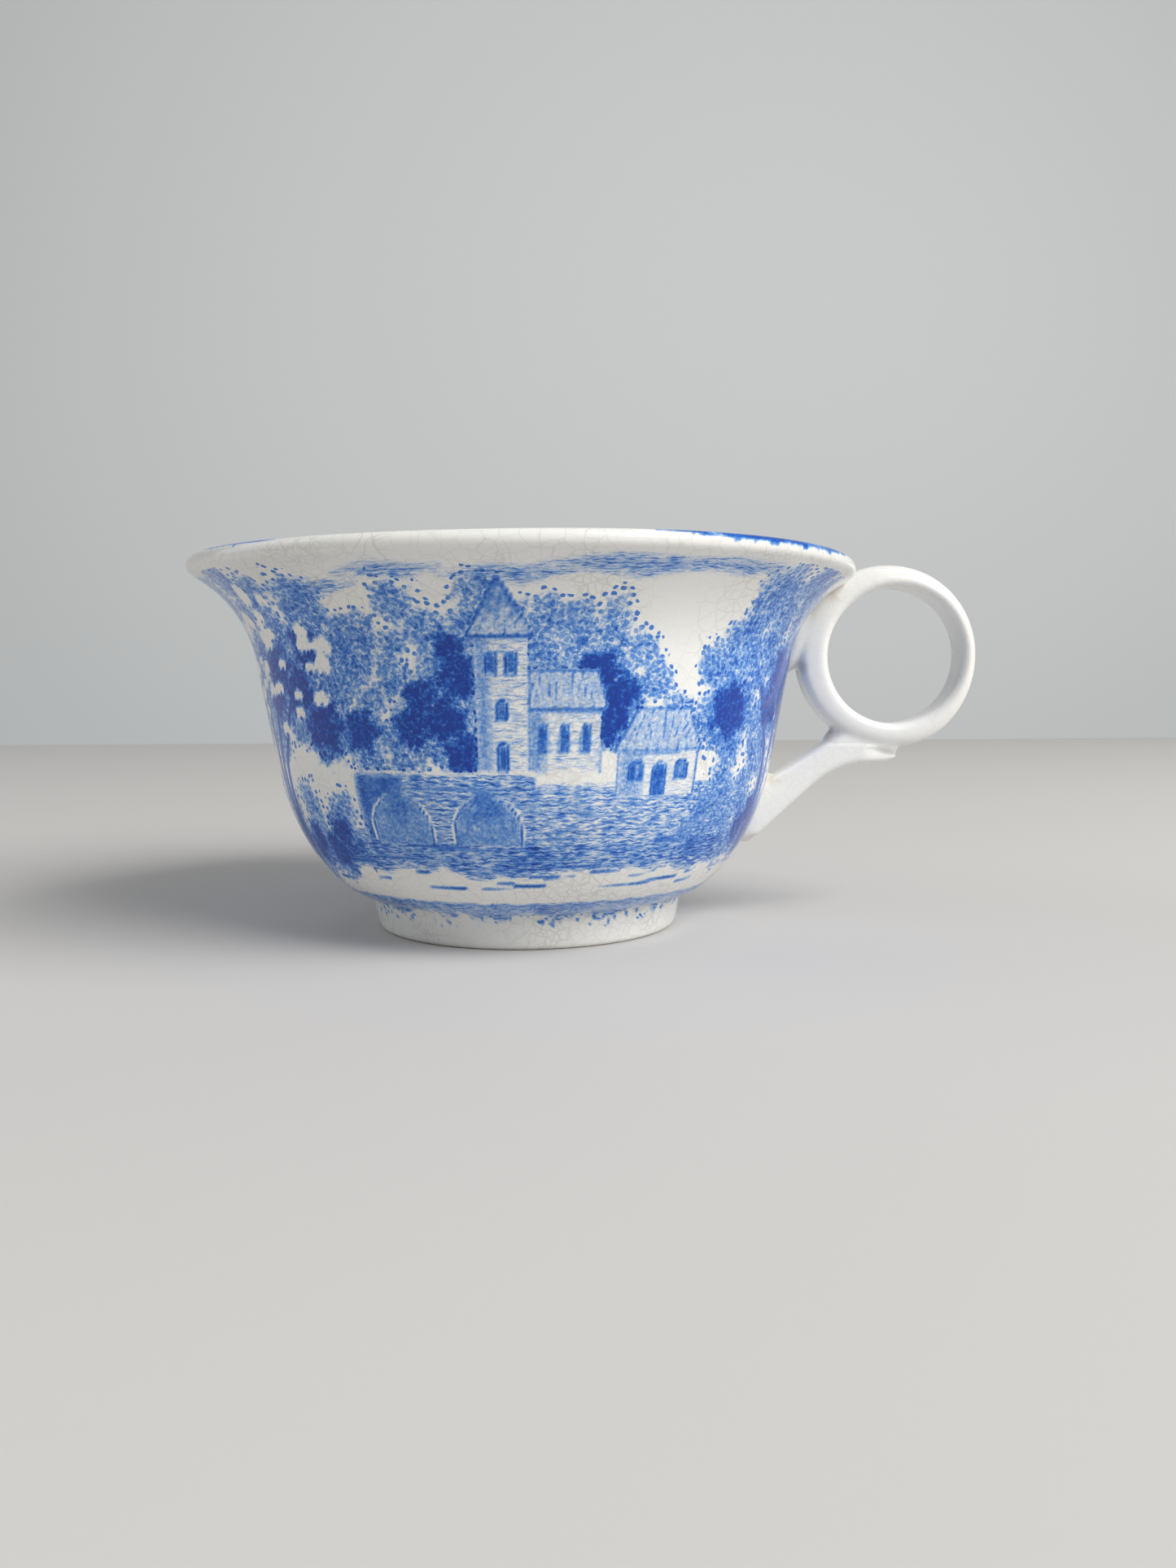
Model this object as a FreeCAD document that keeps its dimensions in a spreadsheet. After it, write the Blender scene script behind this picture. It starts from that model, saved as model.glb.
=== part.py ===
import FreeCAD, Part
import math
import os
import Sketcher

# A footed teacup with a flared lip and a ring handle carried on a forked stem.
# Frame: origin on the cup's axis in the plane that the foot stands on, +Z up, handle towards +X.
# The pieces are those that a potter makes and joins: the bowl, its foot, the handle's ring and
# stem, and the slip that lutes them together. They meet face to face.

doc = FreeCAD.newDocument("teacup")

# ---------------------------------------------------------------- driving dimensions
# Millimetres and degrees. "reach" is the distance from the cup's axis along X, "level" is the
# height above the plane that the foot stands on.
DIMENSIONS = [
    ("rim_diameter", 102.2, "across the outside of the lip"),
    ("cup_height", 56.5, "standing plane to the top of the lip"),
    ("lip_thickness", 2.4, "the lip is a round bead of this diameter"),
    ("wall_thickness", 2.8, "bowl wall, square to its face"),
    ("wall_lean", 10.3, "degrees that the straight stretch of wall leans outwards"),
    ("belly_radius", 38.5, "outside radius where the belly runs into the straight wall"),
    ("belly_level", 25.4, "height of that place"),
    ("knuckle_radius", 32.0, "outside radius where the knuckle runs into the belly"),
    ("knuckle_level", 10.3, "height of that place"),
    ("flare_level", 41.8, "height where the straight wall starts to flare"),
    ("floor_thickness", 4.0, "inside floor to the underside"),
    ("heel_bend", 17.0, "radius of the bend from the inside floor to the inside wall"),
    ("foot_joint_radius", 25.1, "outside radius of the foot where it meets the bowl"),
    ("foot_height", 5.3, "standing plane to the underside of the bowl"),
    ("foot_neck_radius", 24.5, "outside radius of the foot just under its cove"),
    ("foot_neck_level", 4.3, "height of that place"),
    ("foot_base_radius", 23.5, "outside radius of the foot at the standing plane"),
    ("foot_inner_radius", 19.9, "inside radius of the foot at the bowl"),
    ("foot_inner_base", 20.5, "inside radius of the foot at the standing plane"),
    ("foot_edge_round", 0.8, "rounding of the foot's two standing edges"),
    ("ring_radius", 14.6, "outside of the finger ring"),
    ("ring_reach", 58.05, "centre of the ring's outside"),
    ("ring_level", 42.55, "centre of the ring's outside"),
    ("hole_radius", 10.75, "finger hole"),
    ("hole_reach", 58.75, "centre of the finger hole"),
    ("hole_level", 42.2, "centre of the finger hole"),
    ("ring_depth", 7.0, "ring from front to back"),
    ("ring_round", 1.45, "rounding of the ring's edges"),
    ("root_low_reach", 33.2, "stem's lower corner, buried in the wall"),
    ("root_low_level", 12.7, "stem's lower corner, buried in the wall"),
    ("root_high_reach", 36.0, "stem's upper corner, buried in the wall"),
    ("root_high_level", 20.9, "stem's upper corner, buried in the wall"),
    ("toe_reach", 36.9, "where the stem's underside leaves its rounded toe"),
    ("toe_level", 13.5, "where the stem's underside leaves its rounded toe"),
    ("elbow_reach", 45.5, "where the underside starts to level out"),
    ("elbow_level", 21.3, "where the underside starts to level out"),
    ("sole_reach", 54.4, "where the underside has levelled out"),
    ("sole_level", 25.1, "where the underside has levelled out"),
    ("spur_heel_reach", 57.6, "where the underside turns up to the spur"),
    ("spur_heel_level", 25.35, "where the underside turns up to the spur"),
    ("spur_reach", 59.8, "tip of the spur"),
    ("spur_level", 26.9, "tip of the spur"),
    ("spur_back_reach", 58.7, "back of the spur, buried in the ring"),
    ("spur_back_level", 29.0, "back of the spur, buried in the ring"),
    ("saddle_reach", 51.0, "stem's top edge, buried in the ring"),
    ("saddle_level", 30.3, "stem's top edge, buried in the ring"),
    ("stem_depth", 5.8, "stem from front to back"),
    ("stem_round", 1.0, "rounding of the stem's edges"),
    ("upper_slip_reach", 43.6, "centre of the slip between ring and wall"),
    ("upper_slip_level", 45.2, "centre of the slip between ring and wall"),
    ("upper_slip_lean", 23.0, "degrees that this slip leans outwards with the wall"),
    ("upper_slip_length", 13.0, "this slip along the wall, upwards"),
    ("upper_slip_width", 9.4, "this slip along the wall, sideways"),
    ("upper_slip_depth", 4.8, "this slip square to the wall, its buried half included"),
    ("lower_slip_reach", 37.0, "centre of the slip between stem and wall"),
    ("lower_slip_level", 18.0, "centre of the slip between stem and wall"),
    ("lower_slip_lean", 20.0, "degrees that this slip leans outwards with the wall"),
    ("lower_slip_length", 13.0, "this slip along the wall, upwards"),
    ("lower_slip_width", 8.2, "this slip along the wall, sideways"),
    ("lower_slip_depth", 4.4, "this slip square to the wall, its buried half included"),
    ("fork_slip_reach", 50.2, "centre of the slip in the fork of ring and stem"),
    ("fork_slip_level", 29.4, "centre of the slip in the fork of ring and stem"),
    ("fork_slip_lean", 60.0, "degrees that this slip leans outwards, along the fork"),
    ("fork_slip_length", 5.2, "this slip along the fork"),
    ("fork_slip_width", 4.8, "this slip from front to back"),
    ("fork_slip_depth", 3.0, "this slip across the fork"),
]


def make_sheet():
    sheet = doc.addObject("Spreadsheet::Sheet", "dims")
    for row, (alias, value, note) in enumerate(DIMENSIONS, start=1):
        sheet.set("A%d" % row, alias)
        sheet.set("B%d" % row, str(value))
        sheet.setAlias("B%d" % row, alias)
        sheet.set("C%d" % row, note)
    doc.recompute()
    return sheet


sheet = make_sheet()


def size(alias):
    """The number in the sheet's cell of that name."""
    return float(sheet.get(alias))


def place(name):
    """A point of the upright plane, from the cells NAME_reach and NAME_level."""
    return FreeCAD.Vector(size(name + "_reach"), size(name + "_level"), 0)


# ---------------------------------------------------------------- sketching helpers
START, END, CENTRE = 1, 2, 3      # a point's number on a line or arc of a sketch
X_AXIS, Y_AXIS = -1, -2           # a sketch's own axes; the first one's start is its origin


def upright_sketch(body, name):
    """A sketch on the body's own XZ plane: its x is the frame's X, its y is the frame's Z."""
    plane = [feature for feature in body.Origin.OriginFeatures if feature.Role == "XZ_Plane"][0]
    sketch = body.newObject("Sketcher::SketchObject", name)
    sketch.AttachmentSupport = (plane, [""])
    sketch.MapMode = "FlatFace"
    return sketch


def bind(sketch, kind, where, expression):
    """Add a dimension to a sketch whose value follows an expression of the sheet's cells."""
    value = sketch.evalExpression(expression)
    value = value.getValueAs("rad").Value if kind == "Angle" else float(value)
    index = sketch.addConstraint(Sketcher.Constraint(kind, *where, value))
    sketch.setExpression("Constraints[%d]" % index, expression)


def hold(sketch, edge, point, across, up):
    """Dimension a point of a sketch from its origin."""
    bind(sketch, "DistanceX", (X_AXIS, START, edge, point), across)
    bind(sketch, "DistanceY", (X_AXIS, START, edge, point), up)


def hold_place(sketch, edge, point, name):
    """Dimension a point of a sketch by the cells NAME_reach and NAME_level."""
    hold(sketch, edge, point, "dims.%s_reach" % name, "dims.%s_level" % name)


def shared_ends(sketch, first, second):
    """The end of each of two edges where they meet."""
    pairs = [(a, b) for a in (START, END) for b in (START, END)]
    return min(pairs, key=lambda ends: (sketch.getPoint(first, ends[0])
                                        - sketch.getPoint(second, ends[1])).Length)


def end_near(sketch, edge, point):
    """The end of an edge that lies nearest to a point."""
    return min((START, END), key=lambda end: (sketch.getPoint(edge, end) - point).Length)


def close_chain(sketch, edges, smooth):
    """Join each edge to the next, and the last to the first; smooth joints are tangent ones."""
    for index, edge in enumerate(edges):
        following = edges[(index + 1) % len(edges)]
        first_end, second_end = shared_ends(sketch, edge, following)
        kind = "Tangent" if (edge, following) in smooth else "Coincident"
        sketch.addConstraint(Sketcher.Constraint(kind, edge, first_end, following, second_end))


def tangent_arc(start, heading, end):
    """The arc that leaves start along heading and ends at end, with its heading there."""
    chord = end - start
    along = heading.normalize()
    left = FreeCAD.Vector(-along.y, along.x, 0)
    radius = chord.Length ** 2 / (2 * chord.dot(left))
    centre = start + left * radius
    middle = (start + end) * 0.5 - centre
    middle = centre + middle.normalize() * abs(radius)
    last_left = (centre - end) * (1 / radius)
    last_heading = FreeCAD.Vector(last_left.y, -last_left.x, 0)
    return Part.Arc(start, middle, end), last_heading


def around(centre, radius, start, end):
    """The shorter arc about a centre from one point of it to another."""
    middle = (start + end) * 0.5 - centre
    return Part.Arc(start, centre + middle.normalize() * radius, end)


def symmetric_pad(body, sketch, name, depth):
    pad = body.newObject("PartDesign::Pad", name)
    pad.Profile = sketch
    pad.SideType = "Symmetric"
    pad.setExpression("Length", depth)
    doc.recompute()
    return pad


def turned(body, sketch, name):
    """Turn a sketch once round the frame's Z."""
    turn = body.newObject("PartDesign::Revolution", name)
    turn.Profile = sketch
    turn.ReferenceAxis = (sketch, ["V_Axis"])
    turn.Angle = 360
    doc.recompute()
    return turn


def rounded(body, base, name, edges, radius):
    fillet = body.newObject("PartDesign::Fillet", name)
    fillet.Base = (base, edges)
    fillet.setExpression("Radius", radius)
    doc.recompute()
    return fillet


def without(base, tools, name):
    """The base piece less the pieces that it meets."""
    for number, tool in enumerate(tools, start=1):
        cut = doc.addObject("Part::Cut", "%s_cut_%d" % (name, number))
        cut.Base = base
        cut.Tool = tool
        base = cut
    doc.recompute()
    return base


# ---------------------------------------------------------------- bowl
def make_bowl():
    """One closed outline turned round the axis: underside, outer wall, lip, inner wall, floor."""
    body = doc.addObject("PartDesign::Body", "bowl_body")
    sketch = upright_sketch(body, "bowl_outline")
    point = FreeCAD.Vector
    lean = math.radians(size("wall_lean"))
    upwards = point(math.sin(lean), math.cos(lean), 0)
    outwards = point(math.cos(lean), -math.sin(lean), 0)
    underside = size("foot_height")
    floor = underside + size("floor_thickness")
    bead = size("lip_thickness") / 2
    wall = size("wall_thickness")

    # Outside: the belly and knuckle arcs are tangent to the leaning wall and to each other.
    joint = point(size("foot_joint_radius"), underside, 0)
    knuckle = point(size("knuckle_radius"), size("knuckle_level"), 0)
    belly = point(size("belly_radius"), size("belly_level"), 0)
    flare = belly + upwards * ((size("flare_level") - belly.y) / upwards.y)
    belly_arc, heading = tangent_arc(belly, upwards * -1, knuckle)
    knuckle_arc, heading = tangent_arc(knuckle, heading, joint)

    # The two flare arcs are tangent to the walls below and to the round bead of the lip.
    lip = point(size("rim_diameter") / 2 - bead, size("cup_height") - bead, 0)
    gap = flare - lip
    flare_radius = (gap.Length ** 2 - bead ** 2) / (2 * (bead - outwards.dot(gap)))
    flare_centre = flare + outwards * flare_radius
    lip_under = lip + (flare_centre - lip).normalize() * bead
    inner_flare = flare - outwards * wall
    gap = inner_flare - lip
    inner_flare_radius = (bead ** 2 - gap.Length ** 2) / (2 * (bead + outwards.dot(gap)))
    inner_flare_centre = inner_flare + outwards * inner_flare_radius
    lip_inside = lip + (lip - inner_flare_centre).normalize() * bead

    # Inside: the belly keeps the wall's thickness, and a heel bend runs on to the floor.
    inner_belly = belly - outwards * wall
    belly_centre = belly_arc.toShape().Curve.Center
    inner_belly_radius = (inner_belly - belly_centre).Length
    heel_drop = belly_centre.y - floor - size("heel_bend")
    heel_offset = inner_belly_radius - size("heel_bend")
    heel_centre = belly_centre + point(math.sqrt(heel_offset ** 2 - heel_drop ** 2), -heel_drop, 0)
    heel = belly_centre + (heel_centre - belly_centre).normalize() * inner_belly_radius
    floor_edge = point(heel_centre.x, floor, 0)

    outline = [
        Part.LineSegment(point(0, underside, 0), joint),
        knuckle_arc,
        belly_arc,
        Part.LineSegment(belly, flare),
        around(flare_centre, flare_radius, flare, lip_under),
        Part.Arc(lip_under, lip + point(bead, bead, 0).normalize() * bead, lip_inside),
        around(inner_flare_centre, inner_flare_radius, lip_inside, inner_flare),
        Part.LineSegment(inner_flare, inner_belly),
        around(belly_centre, inner_belly_radius, inner_belly, heel),
        around(heel_centre, size("heel_bend"), heel, floor_edge),
        Part.LineSegment(floor_edge, point(0, floor, 0)),
        Part.LineSegment(point(0, floor, 0), point(0, underside, 0)),
    ]
    edges = [sketch.addGeometry(edge, False) for edge in outline]
    (under, knuckle_edge, belly_edge, wall_edge, flare_edge, lip_edge,
     inner_flare_edge, inner_wall, inner_belly_edge, heel_edge, floor_line, axis_line) = edges
    smooth = {(a, b) for a, b in zip(edges[1:], edges[2:11])}
    close_chain(sketch, edges, smooth)

    sketch.addConstraint(Sketcher.Constraint("Horizontal", under))
    sketch.addConstraint(Sketcher.Constraint("Horizontal", floor_line))
    sketch.addConstraint(Sketcher.Constraint("PointOnObject", axis_line, START, Y_AXIS))
    sketch.addConstraint(Sketcher.Constraint("PointOnObject", axis_line, END, Y_AXIS))
    hold(sketch, under, END, "dims.foot_joint_radius", "dims.foot_height")
    bind(sketch, "DistanceY", (X_AXIS, START, axis_line, START),
         "dims.foot_height + dims.floor_thickness")
    hold(sketch, belly_edge, end_near(sketch, belly_edge, knuckle),
         "dims.knuckle_radius", "dims.knuckle_level")
    hold(sketch, wall_edge, START, "dims.belly_radius", "dims.belly_level")
    bind(sketch, "Angle", (wall_edge,), "(90 - dims.wall_lean) * 1 deg")
    bind(sketch, "DistanceY", (X_AXIS, START, wall_edge, END), "dims.flare_level")
    bind(sketch, "Radius", (lip_edge,), "dims.lip_thickness / 2")
    hold(sketch, lip_edge, CENTRE, "(dims.rim_diameter - dims.lip_thickness) / 2",
         "dims.cup_height - dims.lip_thickness / 2")
    sketch.addConstraint(Sketcher.Constraint("Parallel", wall_edge, inner_wall))
    bind(sketch, "Distance", (inner_wall, END, wall_edge), "dims.wall_thickness")
    sketch.addConstraint(Sketcher.Constraint("Coincident", belly_edge, CENTRE,
                                             inner_belly_edge, CENTRE))
    bind(sketch, "DistanceY", (X_AXIS, START, inner_wall, START),
         "dims.flare_level + dims.wall_thickness * sin(dims.wall_lean * 1 deg)")
    bind(sketch, "Radius", (heel_edge,), "dims.heel_bend")
    turned(body, sketch, "bowl_turned")
    return body, sketch


# ---------------------------------------------------------------- foot
def make_foot():
    """A tapered ring with a small cove under the bowl and rounded standing edges."""
    body = doc.addObject("PartDesign::Body", "foot_body")
    sketch = upright_sketch(body, "foot_outline")
    point = FreeCAD.Vector
    top = size("foot_height")
    inner_base = point(size("foot_inner_base"), 0, 0)
    base = point(size("foot_base_radius"), 0, 0)
    neck = point(size("foot_neck_radius"), size("foot_neck_level"), 0)
    joint = point(size("foot_joint_radius"), top, 0)
    inner_top = point(size("foot_inner_radius"), top, 0)
    cove, heading = tangent_arc(neck, neck - base, joint)
    outline = [
        Part.LineSegment(inner_base, base),
        Part.LineSegment(base, neck),
        cove,
        Part.LineSegment(joint, inner_top),
        Part.LineSegment(inner_top, inner_base),
    ]
    edges = [sketch.addGeometry(edge, False) for edge in outline]
    standing, taper, cove_edge, top_edge, inner_edge = edges
    close_chain(sketch, edges, {(taper, cove_edge)})
    sketch.addConstraint(Sketcher.Constraint("PointOnObject", standing, START, X_AXIS))
    sketch.addConstraint(Sketcher.Constraint("PointOnObject", standing, END, X_AXIS))
    bind(sketch, "DistanceX", (X_AXIS, START, standing, START), "dims.foot_inner_base")
    bind(sketch, "DistanceX", (X_AXIS, START, standing, END), "dims.foot_base_radius")
    hold(sketch, taper, END, "dims.foot_neck_radius", "dims.foot_neck_level")
    hold(sketch, top_edge, START, "dims.foot_joint_radius", "dims.foot_height")
    hold(sketch, top_edge, END, "dims.foot_inner_radius", "dims.foot_height")
    turn = turned(body, sketch, "foot_turned")
    standing_edges = ["Edge%d" % number for number, edge in enumerate(turn.Shape.Edges, start=1)
                      if edge.BoundBox.ZMax < 1e-6]
    rounded(body, turn, "foot_rounded", standing_edges, "dims.foot_edge_round")
    return body, sketch


# ---------------------------------------------------------------- handle ring
def make_ring():
    """A flat ring whose hole is a little off its centre, so that it is thicker at the wall."""
    body = doc.addObject("PartDesign::Body", "ring_body")
    sketch = upright_sketch(body, "ring_outline")
    upright = FreeCAD.Vector(0, 0, 1)
    for name in ("ring", "hole"):
        circle = sketch.addGeometry(Part.Circle(place(name), upright, size(name + "_radius")), False)
        hold_place(sketch, circle, CENTRE, name)
        bind(sketch, "Radius", (circle,), "dims.%s_radius" % name)
    pad = symmetric_pad(body, sketch, "ring_pad", "dims.ring_depth")
    rims = ["Edge%d" % number for number, edge in enumerate(pad.Shape.Edges, start=1)
            if edge.BoundBox.YLength < 1e-6]
    rounded(body, pad, "ring_rounded", rims, "dims.ring_round")
    return body, sketch


# ---------------------------------------------------------------- handle stem
def make_stem():
    """The strut that rises from the lower wall, carries the ring and ends in a small spur."""
    body = doc.addObject("PartDesign::Body", "stem_body")
    sketch = upright_sketch(body, "stem_outline")
    names = ["root_low", "toe", "elbow", "sole", "spur_heel", "spur", "spur_back", "saddle",
             "root_high"]
    corner = {name: place(name) for name in names}
    elbow_arc, heading = tangent_arc(corner["elbow"], corner["elbow"] - corner["toe"],
                                     corner["sole"])
    spur_arc, heading = tangent_arc(corner["spur_heel"], corner["spur_heel"] - corner["sole"],
                                    corner["spur"])
    arcs = {"elbow": elbow_arc, "spur_heel": spur_arc}
    edges = []
    for name, following in zip(names, names[1:] + names[:1]):
        line = Part.LineSegment(corner[name], corner[following])
        edges.append(sketch.addGeometry(arcs.get(name, line), False))
    underside, elbow_edge, sole_edge, spur_edge = edges[1:5]
    close_chain(sketch, edges, {(underside, elbow_edge), (sole_edge, spur_edge)})
    for edge, name in zip(edges, names):
        if name in arcs:
            continue
        hold_place(sketch, edge, START, name)
    hold_place(sketch, underside, END, "elbow")
    hold_place(sketch, sole_edge, END, "spur_heel")
    pad = symmetric_pad(body, sketch, "stem_pad", "dims.stem_depth")
    reach_of_root = max(corner["root_low"].x, corner["root_high"].x)
    rims = ["Edge%d" % number for number, edge in enumerate(pad.Shape.Edges, start=1)
            if edge.BoundBox.YLength < 1e-6 and edge.BoundBox.XMax > reach_of_root]
    rounded(body, pad, "stem_rounded", rims, "dims.stem_round")
    return body, sketch


# ---------------------------------------------------------------- slip joints
def make_slip(name):
    """A pat of slip: an ellipsoid that leans with the wall, later cut by what it joins."""
    pat = doc.addObject("Part::Ellipsoid", name + "_pat")
    lean = FreeCAD.Rotation(FreeCAD.Vector(0, 1, 0), size(name + "_lean"))
    pat.Placement = FreeCAD.Placement(FreeCAD.Vector(0, 0, 0), lean)
    pat.setExpression("Radius1", "dims.%s_length / 2" % name)
    pat.setExpression("Radius2", "dims.%s_depth / 2" % name)
    pat.setExpression("Radius3", "dims.%s_width / 2" % name)
    pat.setExpression("Placement.Base.x", "dims.%s_reach" % name)
    pat.setExpression("Placement.Base.y", "0")
    pat.setExpression("Placement.Base.z", "dims.%s_level" % name)
    pat.setExpression("Placement.Rotation.Angle", "dims.%s_lean * 1 deg" % name)
    doc.recompute()
    return pat


# ---------------------------------------------------------------- assembly
bowl, bowl_sketch = make_bowl()
foot, foot_sketch = make_foot()
ring, ring_sketch = make_ring()
stem, stem_sketch = make_stem()

pieces = {
    "bowl": bowl,
    "foot_ring": foot,
    "handle_ring": without(ring, [bowl], "handle_ring"),
    "handle_stem": without(stem, [bowl, ring], "handle_stem"),
    "upper_slip_joint": without(make_slip("upper_slip"), [bowl, ring], "upper_slip"),
    "lower_slip_joint": without(make_slip("lower_slip"), [bowl, stem], "lower_slip"),
    "fork_slip_joint": without(make_slip("fork_slip"), [ring, stem], "fork_slip"),
}
for label, piece in pieces.items():
    piece.Label = label
doc.recompute()


# ---------------------------------------------------------------- checks and export
for sketch in (bowl_sketch, foot_sketch, ring_sketch, stem_sketch):
    if not sketch.FullyConstrained:
        raise RuntimeError("%s is not fully constrained" % sketch.Name)
for item in doc.Objects:
    if "Invalid" in item.State or "Error" in item.State:
        raise RuntimeError("%s: %s" % (item.Name, item.State))
for label, piece in pieces.items():
    shape = piece.Shape
    if shape.isNull() or not shape.isValid() or not shape.Solids:
        raise RuntimeError("%s has no valid solid" % label)

os.makedirs("parts", exist_ok=True)
for label, piece in pieces.items():
    piece.Shape.exportStep("parts/%s.step" % label)
    box = piece.Shape.optimalBoundingBox(False, False)
    print("%-17s solids %d  volume %8.1f mm3  X %6.2f..%6.2f  Y %6.2f..%6.2f  Z %6.2f..%6.2f" % (
        label, len(piece.Shape.Solids), piece.Shape.Volume,
        box.XMin, box.XMax, box.YMin, box.YMax, box.ZMin, box.ZMax))
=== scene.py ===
import math

import bmesh
import bpy
import numpy as np
from mathutils import Matrix, Vector


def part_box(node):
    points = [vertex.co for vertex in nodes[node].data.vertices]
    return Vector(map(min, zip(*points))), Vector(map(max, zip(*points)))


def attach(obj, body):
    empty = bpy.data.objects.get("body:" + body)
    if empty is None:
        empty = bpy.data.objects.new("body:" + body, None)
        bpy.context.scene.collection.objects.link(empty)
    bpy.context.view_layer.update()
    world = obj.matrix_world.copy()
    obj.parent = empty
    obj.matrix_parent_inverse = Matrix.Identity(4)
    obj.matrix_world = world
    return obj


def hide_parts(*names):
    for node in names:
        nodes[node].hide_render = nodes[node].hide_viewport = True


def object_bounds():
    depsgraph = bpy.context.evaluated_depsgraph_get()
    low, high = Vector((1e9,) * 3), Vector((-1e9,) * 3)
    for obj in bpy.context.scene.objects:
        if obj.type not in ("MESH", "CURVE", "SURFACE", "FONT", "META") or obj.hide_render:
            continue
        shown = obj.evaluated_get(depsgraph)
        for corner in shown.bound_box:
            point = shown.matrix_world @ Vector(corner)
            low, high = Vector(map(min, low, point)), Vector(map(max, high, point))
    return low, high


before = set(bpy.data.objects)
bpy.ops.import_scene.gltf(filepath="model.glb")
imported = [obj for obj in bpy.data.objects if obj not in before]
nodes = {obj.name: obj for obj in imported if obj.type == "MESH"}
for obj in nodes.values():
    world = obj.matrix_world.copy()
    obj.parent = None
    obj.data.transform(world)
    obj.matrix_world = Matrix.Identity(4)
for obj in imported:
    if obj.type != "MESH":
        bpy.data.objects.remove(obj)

cad_low, cad_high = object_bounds()
MM = 0.001

# ------------------------------------------------------------------ the cup's own sizes, in mm
RIM_RADIUS = cad_high.y / MM
CUP_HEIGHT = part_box("bowl")[1][2] / MM
FOOT_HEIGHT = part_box("bowl")[0][2] / MM
FOOT_JOINT_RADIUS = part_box("foot_ring")[1][0] / MM
LIP_BEAD = 1.2                  # radius of the rounded lip
WALL = 2.8
WALL_LEAN = math.radians(10.3)
BELLY = (38.5, 25.4)            # radius and level where the straight wall starts
KNUCKLE = (32.0, 10.3)          # radius and level where it turns in to the foot
FLARE_LEVEL = 41.8              # the wall turns out to the lip here
FLOOR_LEVEL = FOOT_HEIGHT + 4.0
HEEL_BEND = 17.0                # radius of the bend between the inner wall and the floor

RING_CENTRE = (58.75, 42.2)     # of the finger ring: how far out, and how high
RING_SHOULDER = 11.6            # past this radius the ring's outer side is worked thinner

SHEET_RADIUS = 40.0             # the print sheet is laid out on a cylinder of this radius
COLUMNS = 608                   # of faces round the bowl, a multiple of 16


# ------------------------------------------------------------------ camera, floor and light
def make_camera():
    """A close, low view of the printed front, through a fairly wide lens."""
    eye = Vector((0.0, -195.4, 37.8)) * MM
    yaw, pitch, roll = math.radians(2.87), math.radians(4.65), math.radians(0.24)
    camera_data = bpy.data.cameras.new("camera")
    camera_data.lens = 28.02
    camera_data.sensor_width = 36.0
    camera_data.clip_start = 0.01
    camera_data.clip_end = 20.0
    camera = bpy.data.objects.new("camera", camera_data)
    bpy.context.scene.collection.objects.link(camera)
    level = Matrix.Rotation(math.radians(90), 4, "X")
    turn = Matrix.Rotation(-yaw, 4, "Z") @ Matrix.Rotation(-pitch, 4, "X")
    camera.matrix_world = Matrix.Translation(eye) @ turn @ level @ Matrix.Rotation(-roll, 4, "Z")
    bpy.context.scene.camera = camera


def new_material(name):
    material = bpy.data.materials.new(name)
    material.use_nodes = True
    return material, material.node_tree


def plain_material(name, colour, roughness):
    material, tree = new_material(name)
    shader = tree.nodes["Principled BSDF"]
    shader.inputs["Base Color"].default_value = (*colour, 1)
    shader.inputs["Roughness"].default_value = roughness
    return material


def make_stage():
    """A pale table top that ends behind the cup, and a pale wall beyond it."""
    table_far, wall_far, reach = 0.62, 1.3, 3.0
    sweep = bmesh.new()
    bmesh.ops.create_grid(sweep, x_segments=1, y_segments=1, size=1.0)
    for vertex in sweep.verts:
        vertex.co.x *= reach
        vertex.co.y = table_far if vertex.co.y > 0 else -reach
    floor = add_object("floor", sweep, plain_material("pale_floor", (0.62, 0.60, 0.58), 0.9))
    wall_mesh = bmesh.new()
    bmesh.ops.create_grid(wall_mesh, x_segments=1, y_segments=1, size=1.0)
    for vertex in wall_mesh.verts:
        vertex.co = Vector((vertex.co.x * reach, wall_far, -1.0 + (vertex.co.y + 1) * 2.0))
    wall = add_object("wall", wall_mesh, plain_material("pale_wall", (0.86, 0.88, 0.87), 0.9))


def add_area_light(name, place, aim, size, power, colour):
    light = bpy.data.lights.new(name, "AREA")
    light.shape = "RECTANGLE"
    light.size, light.size_y = size
    light.energy = power
    light.color = colour
    holder = bpy.data.objects.new(name, light)
    holder.location = place
    holder.rotation_euler = (Vector(aim) - Vector(place)).to_track_quat("-Z", "Y").to_euler()
    bpy.context.scene.collection.objects.link(holder)


def make_light():
    """One broad window to the right, a weaker one to the left, and a pale room."""
    cup = (0.0, 0.0, 0.03)
    add_area_light("window", (0.80, -0.62, 0.85), cup, (0.8, 0.8), 18.5, (1.0, 0.995, 0.98))
    add_area_light("side_window", (-1.0, 0.15, 0.45), cup, (0.7, 0.9), 2.2, (0.93, 0.96, 1.0))
    world = bpy.data.worlds.new("room")
    bpy.context.scene.world = world
    world.use_nodes = True
    background = world.node_tree.nodes["Background"]
    background.inputs["Color"].default_value = (0.84, 0.86, 0.88, 1)
    background.inputs["Strength"].default_value = 0.34


# ------------------------------------------------------------------ mesh helpers
def add_object(name, mesh, material):
    """Make a smooth-shaded object of a bmesh, at the origin."""
    data = bpy.data.meshes.new(name)
    mesh.to_mesh(data)
    mesh.free()
    item = bpy.data.objects.new(name, data)
    bpy.context.scene.collection.objects.link(item)
    data.materials.append(material)
    data.polygons.foreach_set("use_smooth", [True] * len(data.polygons))
    return item


def stand_for(item, node):
    """The piece takes the place of the CAD node, on its body."""
    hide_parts(node)
    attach(item, "root")


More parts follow.
